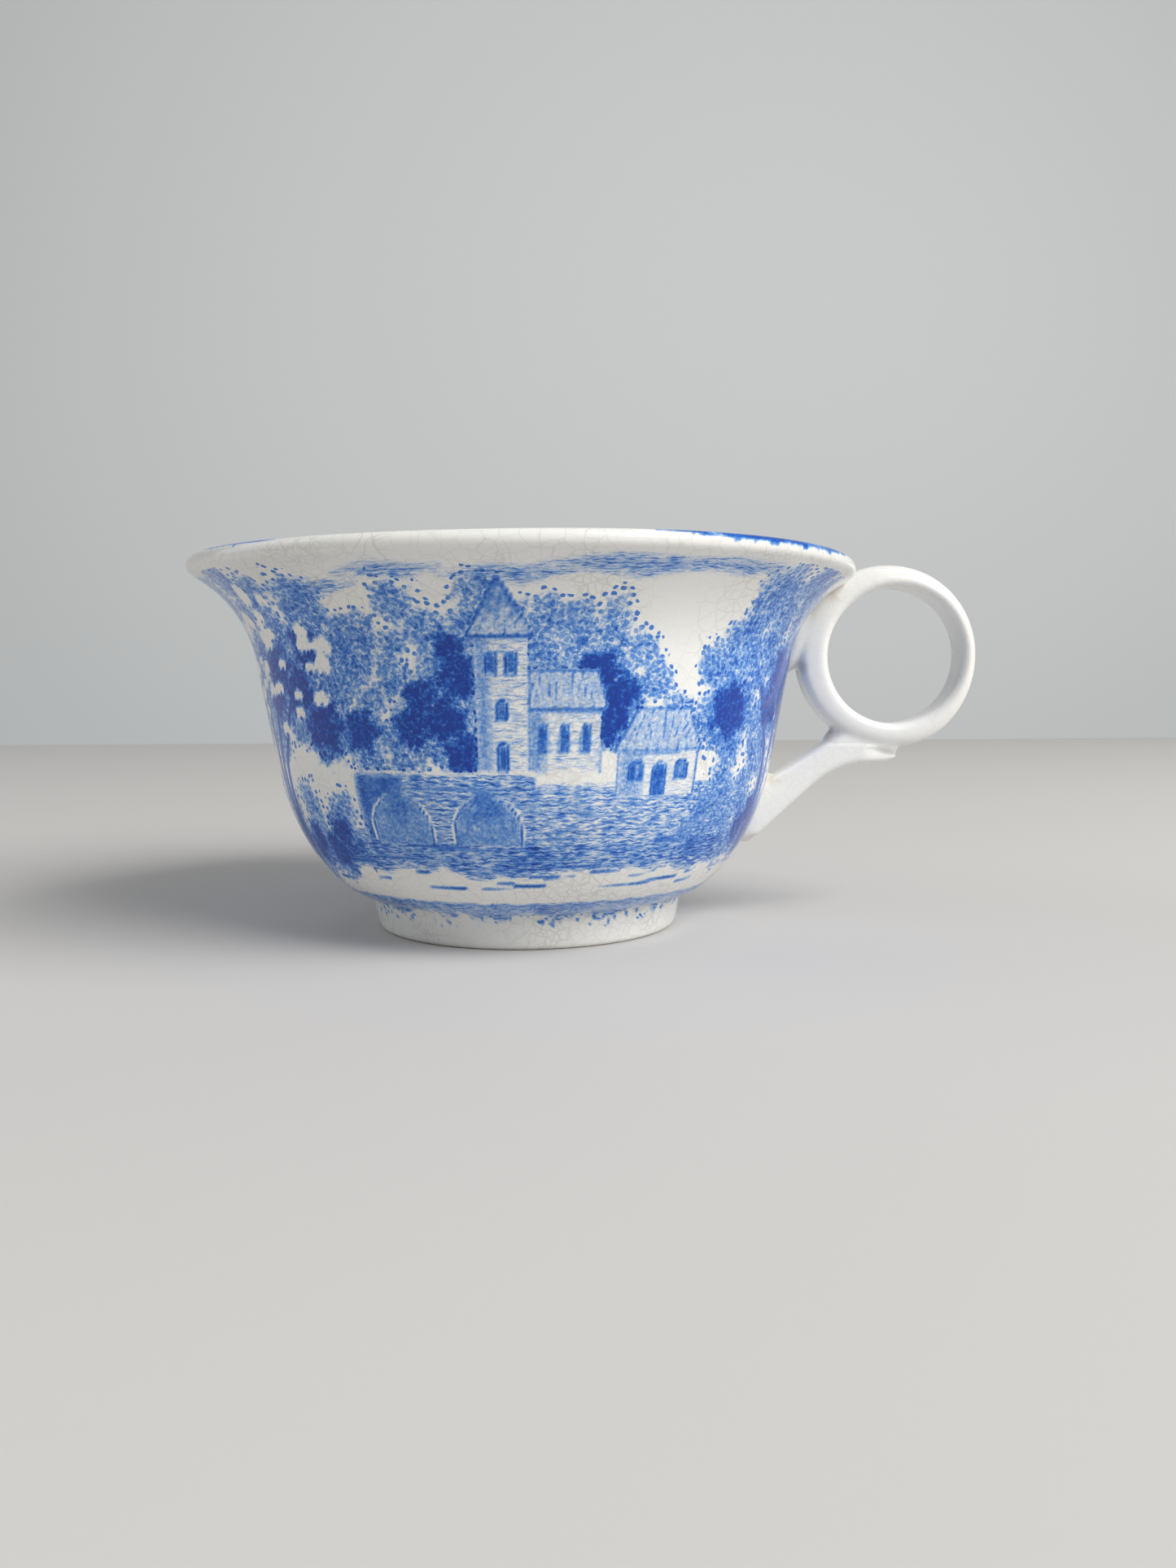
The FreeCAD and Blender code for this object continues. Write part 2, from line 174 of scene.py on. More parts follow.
def arc_points(centre, start, end, spacing):
    """Points on an arc about centre from start to end, with neither end."""
    centre, start, end = Vector(centre), Vector(start), Vector(end)
    radius = (start - centre).length
    first = math.atan2(start.y - centre.y, start.x - centre.x)
    turn = math.atan2(end.y - centre.y, end.x - centre.x) - first
    turn = (turn + math.pi) % (2 * math.pi) - math.pi
    count = max(2, round(abs(turn) * radius / spacing))
    return [centre + Vector((math.cos(first + turn * k / count), math.sin(first + turn * k / count)))
            * radius for k in range(1, count)]


def line_points(start, end, spacing):
    """Points on a straight line from start to end, with neither end."""
    start, end = Vector(start), Vector(end)
    count = max(1, round((end - start).length / spacing))
    return [start.lerp(end, k / count) for k in range(1, count)]


def centre_of_tangent_arc(start, heading, end):
    """Centre of the arc that leaves start along heading and passes through end."""
    chord = end - start
    left = Vector((-heading.y, heading.x)).normalized()
    return start + left * (chord.length_squared / (2 * chord.dot(left)))


def bowl_outline():
    """The bowl's outline from the underside's middle, up the outside and down the inside, in mm.

    Rows lie close together where the print is, and further apart where the clay is plain."""
    fine, inner_fine, coarse = 0.56, 0.62, 2.4
    upwards = Vector((math.sin(WALL_LEAN), math.cos(WALL_LEAN)))
    outwards = Vector((math.cos(WALL_LEAN), -math.sin(WALL_LEAN)))
    joint = Vector((FOOT_JOINT_RADIUS, FOOT_HEIGHT))
    knuckle, belly = Vector(KNUCKLE), Vector(BELLY)
    flare = belly + upwards * ((FLARE_LEVEL - belly.y) / upwards.y)
    belly_centre = centre_of_tangent_arc(belly, -upwards, knuckle)
    spoke = (knuckle - belly_centre).normalized()
    knuckle_centre = centre_of_tangent_arc(knuckle, Vector((spoke.y, -spoke.x)), joint)

    lip = Vector((RIM_RADIUS - LIP_BEAD, CUP_HEIGHT - LIP_BEAD))
    gap = flare - lip
    flare_radius = (gap.length_squared - LIP_BEAD ** 2) / (2 * (LIP_BEAD - outwards.dot(gap)))
    flare_centre = flare + outwards * flare_radius
    lip_under = lip + (flare_centre - lip).normalized() * LIP_BEAD
    inner_flare = flare - outwards * WALL
    gap = inner_flare - lip
    inner_radius = (LIP_BEAD ** 2 - gap.length_squared) / (2 * (LIP_BEAD + outwards.dot(gap)))
    inner_flare_centre = inner_flare + outwards * inner_radius
    lip_inside = lip + (lip - inner_flare_centre).normalized() * LIP_BEAD

    inner_belly = belly - outwards * WALL
    inner_belly_radius = (inner_belly - belly_centre).length
    heel_drop = belly_centre.y - FLOOR_LEVEL - HEEL_BEND
    heel_offset = inner_belly_radius - HEEL_BEND
    heel_centre = belly_centre + Vector((math.sqrt(heel_offset ** 2 - heel_drop ** 2), -heel_drop))
    heel = belly_centre + (heel_centre - belly_centre).normalized() * inner_belly_radius
    floor_edge = Vector((heel_centre.x, FLOOR_LEVEL))

    points = [Vector((0, FOOT_HEIGHT))]
    points += line_points(points[0], joint, 4 * coarse) + [joint]
    points += arc_points(knuckle_centre, joint, knuckle, fine) + [knuckle]
    points += arc_points(belly_centre, knuckle, belly, fine) + [belly]
    points += line_points(belly, flare, fine) + [flare]
    points += arc_points(flare_centre, flare, lip_under, fine) + [lip_under]
    points += arc_points(lip, lip_under, lip_inside, fine) + [lip_inside]
    points += arc_points(inner_flare_centre, lip_inside, inner_flare, inner_fine) + [inner_flare]
    points += line_points(inner_flare, inner_belly, coarse) + [inner_belly]
    points += arc_points(belly_centre, inner_belly, heel, coarse) + [heel]
    points += arc_points(heel_centre, heel, floor_edge, coarse) + [floor_edge]
    points += line_points(floor_edge, (0, FLOOR_LEVEL), 2 * coarse) + [Vector((0, FLOOR_LEVEL))]
    return points


def turned_mesh(outline, columns):
    """Turn an outline, in mm, once round the cup's axis: an eighth is spun, then doubled thrice."""
    mesh = bmesh.new()
    verts = [mesh.verts.new((point.x * MM, 0, point.y * MM)) for point in outline]
    edges = [mesh.edges.new(pair) for pair in zip(verts, verts[1:])]
    bmesh.ops.spin(mesh, geom=verts + edges, axis=(0, 0, 1), cent=(0, 0, 0), steps=columns // 8,
                   angle=math.pi / 4)
    for angle in (math.pi / 4, math.pi / 2, math.pi):
        copy = bmesh.ops.duplicate(mesh, geom=mesh.verts[:] + mesh.edges[:] + mesh.faces[:])
        moved = [part for part in copy["geom"] if isinstance(part, bmesh.types.BMVert)]
        bmesh.ops.rotate(mesh, verts=moved, matrix=Matrix.Rotation(angle, 3, "Z"))
    bmesh.ops.remove_doubles(mesh, verts=mesh.verts, dist=2e-6)
    bmesh.ops.recalc_face_normals(mesh, faces=mesh.faces)
    return mesh


# ------------------------------------------------------------------ shader helpers
def node(tree, kind, **inputs):
    """Add a shader node and set or link its inputs by name, with _ for a space."""
    made = tree.nodes.new("ShaderNode" + kind)
    for name, value in inputs.items():
        connect(tree, made, name.replace("_", " "), value)
    return made


def connect(tree, made, name, value):
    socket = made.inputs[int(name)] if name.isdigit() else made.inputs[name]
    if isinstance(value, bpy.types.NodeSocket):
        tree.links.new(value, socket)
    else:
        socket.default_value = value


def maths(tree, operation, *values, clamp=False):
    made = tree.nodes.new("ShaderNodeMath")
    made.operation = operation
    made.use_clamp = clamp
    for index, value in enumerate(values):
        connect(tree, made, str(index), value)
    return made.outputs[0]


def times(tree, first, second):
    return maths(tree, "MULTIPLY", first, second)


def plus(tree, first, second):
    return maths(tree, "ADD", first, second)


def vector_maths(tree, operation, first, second):
    made = tree.nodes.new("ShaderNodeVectorMath")
    made.operation = operation
    connect(tree, made, "0", first)
    connect(tree, made, "3" if operation == "SCALE" else "1", second)
    return made.outputs[0]


def wandering(tree, place, scale, amount):
    """The place, moved about by up to half the amount, so that nothing drawn there is straight."""
    drift = node(tree, "TexNoise", Vector=place, Scale=scale, Detail=2.0).outputs["Color"]
    centred = vector_maths(tree, "SUBTRACT", drift, (0.5, 0.5, 0.5))
    return vector_maths(tree, "ADD", place, vector_maths(tree, "SCALE", centred, amount))


def ramp_between(tree, value, low, high):
    """0 at low, 1 at high, smooth between; low may be above high."""
    made = tree.nodes.new("ShaderNodeMapRange")
    made.interpolation_type = "SMOOTHSTEP"
    for name, number in (("Value", value), ("From Min", low), ("From Max", high),
                         ("To Min", 0.0), ("To Max", 1.0)):
        connect(tree, made, name, number)
    return made.outputs[0]


def mix_colour(tree, factor, first, second, blend="MIX"):
    made = tree.nodes.new("ShaderNodeMix")
    made.data_type = "RGBA"
    made.blend_type = blend
    connect(tree, made, "0", factor)
    for index, colour in ((6, first), (7, second)):
        connect(tree, made, str(index), colour)
    return made.outputs[2]


def stretched(tree, vector, scale):
    made = tree.nodes.new("ShaderNodeMapping")
    connect(tree, made, "Vector", vector)
    made.inputs["Scale"].default_value = scale
    return made.outputs[0]


def noise(tree, vector, scale, detail, roughness=0.5):
    made = node(tree, "TexNoise", Vector=vector, Scale=scale, Detail=detail, Roughness=roughness)
    return made.outputs[0]


def cells(tree, vector, scale, feature="F1", randomness=1.0, flat=False):
    made = tree.nodes.new("ShaderNodeTexVoronoi")
    made.voronoi_dimensions = "2D" if flat else "3D"
    made.feature = feature
    connect(tree, made, "Vector", vector)
    made.inputs["Scale"].default_value = scale
    made.inputs["Randomness"].default_value = randomness
    return made


def stored(tree, name):
    """What the mesh keeps at each vertex under this name."""
    made = tree.nodes.new("ShaderNodeAttribute")
    made.attribute_name = name
    return made


def new_group(name, inputs, outputs):
    """A shader node group with named float or vector sockets."""
    group = bpy.data.node_groups.new(name, "ShaderNodeTree")
    for label, kind in inputs:
        group.interface.new_socket(label, in_out="INPUT", socket_type="NodeSocket" + kind)
    for label, kind in outputs:
        group.interface.new_socket(label, in_out="OUTPUT", socket_type="NodeSocket" + kind)
    return group, group.nodes.new("NodeGroupInput"), group.nodes.new("NodeGroupOutput")


def use_group(tree, group, **inputs):
    made = tree.nodes.new("ShaderNodeGroup")
    made.node_tree = group
    for name, value in inputs.items():
        connect(tree, made, name.replace("_", " "), value)
    return made


# ------------------------------------------------------------------ the print sheet
class PrintSheet:
    """The copper-plate print, painted on points of the ware.

    across and up place each point on the sheet, in mm; across runs from the middle of the print
    to the right, up is the height above the table. Four layers hold the ink: a stippled wash, a
    horizontal hatch, leaf dabs, and plain ink."""

    LAYERS = ("wash", "hatch", "leaf", "ink")

    def __init__(self, across, up):
        self.across, self.up = across, up
        for layer in self.LAYERS:
            setattr(self, layer, np.zeros(len(across)))

    def near(self, points, margin):
        """The numbers of the sheet's points that lie near these places."""
        low, high = np.min(points, axis=0) - margin, np.max(points, axis=0) + margin
        return np.nonzero((self.across > low[0]) & (self.across < high[0])
                          & (self.up > low[1]) & (self.up < high[1]))[0]

    def around(self, spots, margin):
        """The numbers of the sheet's points that lie near round spots (across, up, radius)."""
        corners = [(a + side * r, u + side * r) for a, u, r in spots for side in (-1, 1)]
        return self.near(corners, margin)

    def blend(self, layer, where, cover, amount):
        ink = getattr(self, layer)
        ink[where] += (amount - ink[where]) * cover

    def raise_to(self, layer, where, amount):
        ink = getattr(self, layer)
        ink[where] = np.maximum(ink[where], amount)

    def path_distance(self, where, points, closed):
        """Distance to a path and, for a closed one, whether each point is inside."""
        x, y = self.across[where], self.up[where]
        nearest = np.full(len(where), 1e9)
        inside = np.zeros(len(where), bool)
        ends = list(zip(points, points[1:] + (points[:1] if closed else [])))
        for (ax, ay), (bx, by) in ends:
            ex, ey = bx - ax, by - ay
            t = np.clip(((x - ax) * ex + (y - ay) * ey) / (ex * ex + ey * ey + 1e-12), 0, 1)
            nearest = np.minimum(nearest, np.hypot(x - ax - t * ex, y - ay - t * ey))
            if ay != by:
                crosses = ((ay > y) != (by > y)) & (x < ax + (y - ay) * ex / ey)
                inside ^= crosses
        return nearest, inside

    def fill(self, layer, points, amount, soft):
        """Fill an outline; soft is how wide its edge fades."""
        where = self.near(points, soft)
        distance, inside = self.path_distance(where, points, True)
        signed = np.where(inside, -distance, distance)
        self.blend(layer, where, np.clip(0.5 - signed / soft, 0, 1), amount)

    def stroke(self, layer, points, width, amount, soft=0.3):
        """Draw a line along points."""
        where = self.near(points, width + soft)
        distance, _ = self.path_distance(where, points, False)
        self.blend(layer, where, np.clip(0.5 - (distance - width / 2) / soft, 0, 1), amount)

    def erase(self, points, soft):
        for layer in self.LAYERS:
            self.fill(layer, points, 0.0, soft)

    def erase_line(self, points, width):
        for layer in self.LAYERS:
            self.stroke(layer, points, width, 0.0)

    def ripple(self, where, size, seed):
        """A smooth, irregular value about 0, for edges that nothing straight made."""
        x, y = self.across[where] / size, self.up[where] / size
        turn = np.random.default_rng(seed).uniform(0, 2 * math.pi, 6)
        return (np.sin(x * 2.1 + y * 1.3 + turn[0]) + np.sin(y * 2.7 - x * 1.1 + turn[1])
                + np.sin(x * 4.3 - y * 3.7 + turn[2]) * 0.6 + np.sin(y * 5.1 + x * 4.9 + turn[3]) * 0.6
                + np.sin(x * 8.3 + y * 7.1 + turn[4]) * 0.3) / 3.5

    def crown(self, clumps, tone, seed):
        """A tree's crown of round clumps (across, up, radius), leafy and dabbed at its edge."""
        edge = 1.6
        where = self.around(clumps, 2 * edge)
        x, y = self.across[where], self.up[where]
        wobble = self.ripple(where, 2.2, seed) * 1.1
        inside = np.full(len(where), -1e9)
        for a, u, r in clumps:
            inside = np.maximum(inside, r - np.hypot(x - a, y - u))
        inside = inside + wobble
        mottle = 1 + 0.35 * self.ripple(where, 1.7, seed + 1)
        self.raise_to("leaf", where, np.clip(inside / edge + 0.75, 0, 1))
        self.raise_to("wash", where, np.clip(inside / (edge * 1.1) + 0.15, 0, 1) * tone * mottle)

    def shade(self, spots, tone, seed):
        """Dark masses inside a crown: soft spots (across, up, radius)."""
        where = self.around(spots, 1.0)
        x, y = self.across[where], self.up[where]
        depth = np.full(len(where), -1e9)
        for a, u, r in spots:
            depth = np.maximum(depth, 1 - np.hypot(x - a, y - u) / r)
        depth = depth + 0.25 * self.ripple(where, 1.3, seed)
        grain = 0.88 + 0.12 * self.ripple(where, 0.8, seed + 1)
        self.raise_to("wash", where, np.clip(depth * 1.7, 0, 1) * tone * grain)


def arch(left, right, spring, crown, count):
    """Points over a round arch from its left springing to its right one."""
    middle, half = (left + right) / 2, (right - left) / 2
    return [(middle - half * math.cos(math.pi * k / (count - 1)),
             spring + (crown - spring) * math.sin(math.pi * k / (count - 1))) for k in range(count)]


def block(left, right, low, high):
    """The corners of an upright rectangle."""
    return [(left, low), (left, high), (right, high), (right, low)]


def paint_sky(sheet):
    """Flat streaks of cloud below the lip."""
    draw = np.random.default_rng(7)
    for across in range(-54, 60, 13):
        up = draw.uniform(50.5, 54.0)
        half, thick = draw.uniform(5.0, 9.5), draw.uniform(1.4, 3.0)
        outline = [(across - half, up), (across - 1.5, up + thick / 2), (across + half, up + 0.3),
                   (across + 2.0, up - thick / 2)]
        sheet.fill("hatch", outline, 0.36, soft=1.6)
        sheet.fill("wash", outline, 0.26, soft=1.8)


def clumps_in(crown, count, draw):
    """Round clumps (across, up, radius) spread evenly over an ellipse, by the golden angle."""
    across, up, wide, high = crown
    golden = math.pi * (3 - math.sqrt(5))
    usual = 1.32 * math.sqrt(wide * high / count)
    places = []
    for k in range(count):
        reach = math.sqrt((k + 0.5) / count)
        places.append((across + wide * reach * math.cos(golden * k),
                       up + high * reach * math.sin(golden * k), usual * draw.uniform(0.75, 1.15)))
    return places


def paint_foliage(sheet, crown, seed, count, tone=0.43, shadow=1.08):
    """A leafy mass filling an ellipse (across, up, half width, half height), darkest low down."""
    places = clumps_in(crown, count, np.random.default_rng(seed))
    sheet.crown(places, tone, seed)
    across, up, wide, high = crown
    shaded = [(a - 0.5, u - 0.7, 1.3 * r) for a, u, r in places
              if abs(a - across) < 0.75 * wide and u < up + 0.25 * high]
    sheet.shade(shaded[::2], shadow, seed + 1)


def paint_tuft(sheet, across, up, half):
    """A pale clump of leaves: round above, with pointed leaves below."""
    top = arch(across - half, across + half, up, up + half * 0.95, count=7)
    teeth = [(across + half * (0.95 - 0.475 * k), up - (0.6 if k % 2 else 0.08) * half)
             for k in range(5)]
    sheet.erase(top + teeth, soft=0.3)


def paint_tree(sheet, foot, crown, seed, trunks, tufts=0):
    """A tall tree: forked trunks from its foot, a broad crown, and pale tufts in its shade."""
    across, up, wide, high = crown
    paint_foliage(sheet, crown, seed, count=22, tone=0.48, shadow=1.1)
    for k in range(trunks):
        lean = (k + 0.5) / trunks - 0.5
        elbow = (foot[0] + lean * 0.35 * wide, (foot[1] + up) / 2)
        line = [(foot[0] + lean * 1.5, foot[1]), elbow, (across + lean * wide, up - 0.2 * high)]
        sheet.stroke("ink", line, 1.5 - 0.25 * k, 0.92, soft=0.6)
    draw = np.random.default_rng(seed + 2)
    for _ in range(tufts):
        turn, reach = draw.uniform(0, 2 * math.pi), math.sqrt(draw.uniform(0, 0.6))
        place = across + wide * reach * math.cos(turn), up + high * reach * math.sin(turn)
        paint_tuft(sheet, *place, draw.uniform(1.1, 1.6))


def paint_masonry(sheet, left, right, low, high, tone, seed):
    """Rows of stone: pale, shaded on the left, with broken courses and staggered joints."""
    draw = np.random.default_rng(seed)
    sheet.erase(block(left, right, low, high), soft=0.4)
    sheet.fill("hatch", block(left, right, low, high), tone, soft=0.4)
    shaded = left + 0.30 * (right - left)
    sheet.fill("wash", block(left, shaded, low, high), tone + 0.26, soft=1.6)
    for row, up in enumerate(np.arange(low + 0.9, high, 0.95)):
        start, end = left + draw.uniform(0, 0.8), right - draw.uniform(0, 0.3) * (right - left)
        sheet.stroke("ink", [(start, up), (end, up + 0.08)], 0.22, 0.36)
        for across in np.arange(left + 0.8 + 0.7 * (row % 2), end, 2.2):
            sheet.stroke("ink", [(across, up), (across, up - 0.8)], 0.2, 0.26)
    for side, ink in ((left, 0.6), (right, 0.75)):
        sheet.stroke("ink", [(side, low), (side, high)], 0.32, ink)


def paint_opening(sheet, across, low, wide, high, bars=0):
    """A dark, round-headed window or door, with pale glazing bars if it has any."""
    left, right = across - wide / 2, across + wide / 2
    outline = [(left, low)] + arch(left, right, low + high * 0.7, low + high, count=7) + [(right, low)]
    sheet.fill("wash", outline, 0.7, soft=0.3)
    sheet.stroke("ink", outline + outline[:1], 0.32, 0.9)
    for k in range(bars):
        bar = left + wide * (k + 1) / (bars + 1)
        sheet.erase_line([(bar, low + 0.4), (bar, low + high * 0.8)], 0.3)


def paint_roof(sheet, left, right, eaves, ridge, hip):
    """A thatched roof, hipped by some millimetres at each end."""
    outline = [(left - 0.8, eaves), (left + hip, ridge), (right - hip, ridge), (right + 0.8, eaves)]
    sheet.erase(outline, soft=0.4)
    sheet.fill("wash", outline, 0.24, soft=0.5)
    middle = (left + right) / 2
    narrow = (right - left - 2 * hip) / (right - left + 1.6)
    for index, across in enumerate(np.arange(left - 0.2, right + 0.4, 0.85)):
        head = (middle + (across - middle) * narrow, ridge)
        start, end = (0.0, 0.7) if index % 2 else (0.3, 0.95)
        line = [(across + (head[0] - across) * k, eaves + (ridge - eaves) * k) for k in (start, end)]
        sheet.stroke("ink", line, 0.32, 0.62 if index % 3 else 0.4)
    sheet.stroke("ink", outline + outline[:1], 0.45, 0.78)


def paint_church(sheet, left, floor, size):
    """A country church: a square tower with a low spire, and a nave to its right."""
    nave_start, nave_end = left + 4.6 * size, left + 12.5 * size
    paint_masonry(sheet, nave_start, nave_end, floor, floor + 6.6 * size, 0.14, 31)
    paint_roof(sheet, nave_start, nave_end, floor + 6.4 * size, floor + 10.2 * size, 0.7)
    for k in range(3):
        paint_opening(sheet, left + (6.6 + 2.2 * k) * size, floor + 2.0 * size, 0.9 * size, 2.8 * size)
    paint_masonry(sheet, left, left + 5.2 * size, floor, floor + 13.6 * size, 0.16, 32)
    paint_roof(sheet, left, left + 5.2 * size, floor + 13.4 * size, floor + 19.0 * size, 2.58 * size)
    for across, low, high in ((1.7, 9.8, 2.2), (3.6, 9.8, 2.2), (2.6, 5.4, 1.8), (2.6, 0.0, 3.0)):
        paint_opening(sheet, left + across * size, floor + low * size, size, high * size)


def paint_cottage(sheet, left, floor, size):
    """A low thatched cottage with a chimney, two windows and a door."""
    right, eaves = left + 11.0 * size, floor + 5.4 * size
    chimney = block(left + 8.0 * size, left + 9.4 * size, floor + 5, floor + 11.4 * size)
    sheet.erase(chimney, soft=0.6)
    sheet.fill("hatch", chimney, 0.5, soft=0.3)
    sheet.stroke("ink", chimney + chimney[:1], 0.3, 0.7)
    paint_masonry(sheet, left, right, floor, eaves, 0.12, 41)
    paint_roof(sheet, left, right, eaves - 0.2, eaves + 4.6 * size, 2.2)
    for across in (2.3, 8.7):
        paint_opening(sheet, left + across * size, floor + 1.9 * size, 1.9 * size, 2.2 * size, bars=1)
    paint_opening(sheet, left + 5.5 * size, floor, 1.9 * size, 3.9 * size)


def paint_bridge(sheet, left, right, water, deck, arches):
    """A stone bridge with equal round arches, seen square on."""
    paint_masonry(sheet, left, right, water, deck + 1.8, 0.42, 51)
    sheet.erase_line([(left, deck + 1.9), (right, deck + 1.9)], 0.5)
    sheet.stroke("ink", [(left, deck), (right, deck)], 0.3, 0.7)
    span = (right - left) / arches
    for k in range(arches):
        start, end = left + span * (k + 0.14), left + span * (k + 0.86)
        curve = arch(start, end, water + 2.2, deck - 1.2, count=11)
        outline = [(start, water)] + curve + [(end, water)]
        sheet.erase_line(outline, 1.1)
        sheet.erase(outline, soft=0.3)
        sheet.fill("wash", outline, 0.46, soft=0.3)
        sheet.shade([((start + end) / 2, deck - 2.6, span * 0.3)], 0.7, 52 + k)
        sheet.stroke("ink", outline, 0.34, 0.85)


def paint_river(sheet):
    """Long strokes of water across the foreground, broken and darker in places."""
    draw = np.random.default_rng(61)
    band = np.nonzero((sheet.up > 10.0) & (sheet.up < 19.0))[0]
    shore = 12.0 + 1.3 * sheet.ripple(band, 6.0, 62)
    depth = np.clip((sheet.up[band] - shore) / 1.2, 0, 1) * np.clip((17.6 - sheet.up[band]) / 1.2, 0, 1)
    sheet.raise_to("hatch", band, depth * (0.50 + 0.25 * sheet.ripple(band, 5.0, 63)))
    sheet.raise_to("wash", band, depth * 0.18)
    for _ in range(80):
        across, up, reach = draw.uniform(-62, 56), draw.uniform(9.6, 17.4), draw.uniform(2, 9)
        sheet.stroke("ink", [(across, up), (across + reach, up + draw.uniform(-0.2, 0.5))],
                     draw.uniform(0.26, 0.42), draw.uniform(0.4, 0.9))


def paint_meadow(sheet):
    """The sloping ground that the buildings stand on."""
    meadow = [(-30, 18.4), (-8, 19.4), (2, 25.0), (34, 24.6), (44, 20), (44, 16.6), (-30, 16.6)]
    sheet.erase(meadow, soft=0.8)
    sheet.fill("hatch", meadow, 0.34, soft=1.0)
    draw = np.random.default_rng(71)
    for _ in range(70):
        across, up = draw.uniform(-4, 36), draw.uniform(17.4, 24.2)
        sheet.stroke("ink", [(across, up), (across + draw.uniform(1.0, 3.6), up + 0.15)], 0.25, 0.5)


def paint_foot_grass(sheet):
    """Sprigs and a thin wash that run down on to the foot."""
    low = np.nonzero(sheet.up < 9.0)[0]
    lower_edge = 4.5 + 1.3 * sheet.ripple(low, 4.5, 82) + 0.4 * sheet.ripple(low, 1.2, 83)
    band = (np.clip((sheet.up[low] - lower_edge) / 1.3, 0, 1)
            * np.clip((8.2 - sheet.up[low]) / 1.0, 0, 1))
    strength = 0.40 + 0.25 * sheet.ripple(low, 6.0, 84)
    sheet.raise_to("hatch", low, band * strength)
    sheet.raise_to("wash", low, band * 0.26)
    sheet.stroke("ink", [(across, 7.5 + 0.2 * math.sin(across)) for across in range(-62, 63, 2)],
                 0.35, 0.75, soft=0.5)
    draw = np.random.default_rng(81)
    for _ in range(150):
        across = draw.uniform(-60, 60)
        up = draw.uniform(3.2, 6.6)
        lean = draw.uniform(-1.0, 1.8)
        sheet.stroke("ink", [(across, up), (across + lean, up + draw.uniform(0.5, 1.4))],
                     0.30, draw.uniform(0.4, 0.9))


def paint_landscape(sheet):
    """A made-up country scene in the manner of old transfer prints, from the sky forwards.

    Each crown is an ellipse: its middle across and up, its half width and its half height."""
    paint_sky(sheet)
    paint_foliage(sheet, (-15, 37, 12, 12), 11, count=22)
    paint_foliage(sheet, (-4, 44, 7, 6), 12, count=9)
    paint_foliage(sheet, (8, 40, 9, 8), 14, count=14, shadow=1.2)
    paint_foliage(sheet, (22, 32, 9, 4), 17, count=9, tone=0.42, shadow=0.6)
    paint_church(sheet, left=-6.5, floor=26.5, size=1.3)
    paint_meadow(sheet)
    paint_cottage(sheet, left=12.5, floor=23.0, size=1.15)
    paint_bridge(sheet, left=-25.5, right=1.0, water=16.6, deck=24.4, arches=2)
    paint_river(sheet)
    paint_tree(sheet, (46, 15), (43, 40, 18, 13.5), 21, trunks=2)
    paint_foliage(sheet, (41, 20, 17, 5.5), 24, count=16)
    paint_tree(sheet, (-46, 12), (-42, 41, 19, 12.5), 27, trunks=3, tufts=44)
    paint_foliage(sheet, (-42, 17, 17, 6), 30, count=18)


def paint_inner_border(sheet):
    """The band inside the lip: dark, and leafy at its lower edge.

    Here up is the length inwards past the lip's top."""
    around, depth = sheet.across, sheet.up
    everywhere = np.arange(len(around))
    edge = 11.5 + 1.6 * np.sin(around / 7.2) + 1.3 * sheet.ripple(everywhere, 1.6, 91)
    sheet.raise_to("wash", everywhere, np.clip((edge - depth) / 2.0, 0, 1) * 0.72)
    sheet.raise_to("leaf", everywhere, np.clip((edge + 1.6 - depth) / 2.0, 0, 1))
    sheet.raise_to("ink", everywhere, np.clip((3.0 - depth) / 1.2, 0, 1) * 0.9)


# ------------------------------------------------------------------ materials
def srgb(red, green, blue):
    """A colour given in the usual 0 to 255 numbers, as the shader wants it."""
    def linear(value):
        value /= 255
        return value / 12.92 if value <= 0.04045 else ((value + 0.055) / 1.055) ** 2.4
    return (linear(red), linear(green), linear(blue), 1.0)


BODY_WHITE = srgb(241, 241, 238)
UNEVEN_WHITE = srgb(226, 222, 212)
CRAZE_GREY = srgb(150, 142, 130)
SPECK_BROWN = srgb(108, 84, 60)
# A brownish tint, laid where the handle joins the wall and in the fork.
JOINT_BROWN = srgb(176, 150, 112)
# The ink's colour over the white, from bare clay to a full stroke.
COBALT = ((0.0, (255, 255, 255)), (0.22, (196, 217, 250)), (0.46, (110, 164, 238)),
          (0.72, (28, 108, 214)), (1.0, (0, 62, 172)))


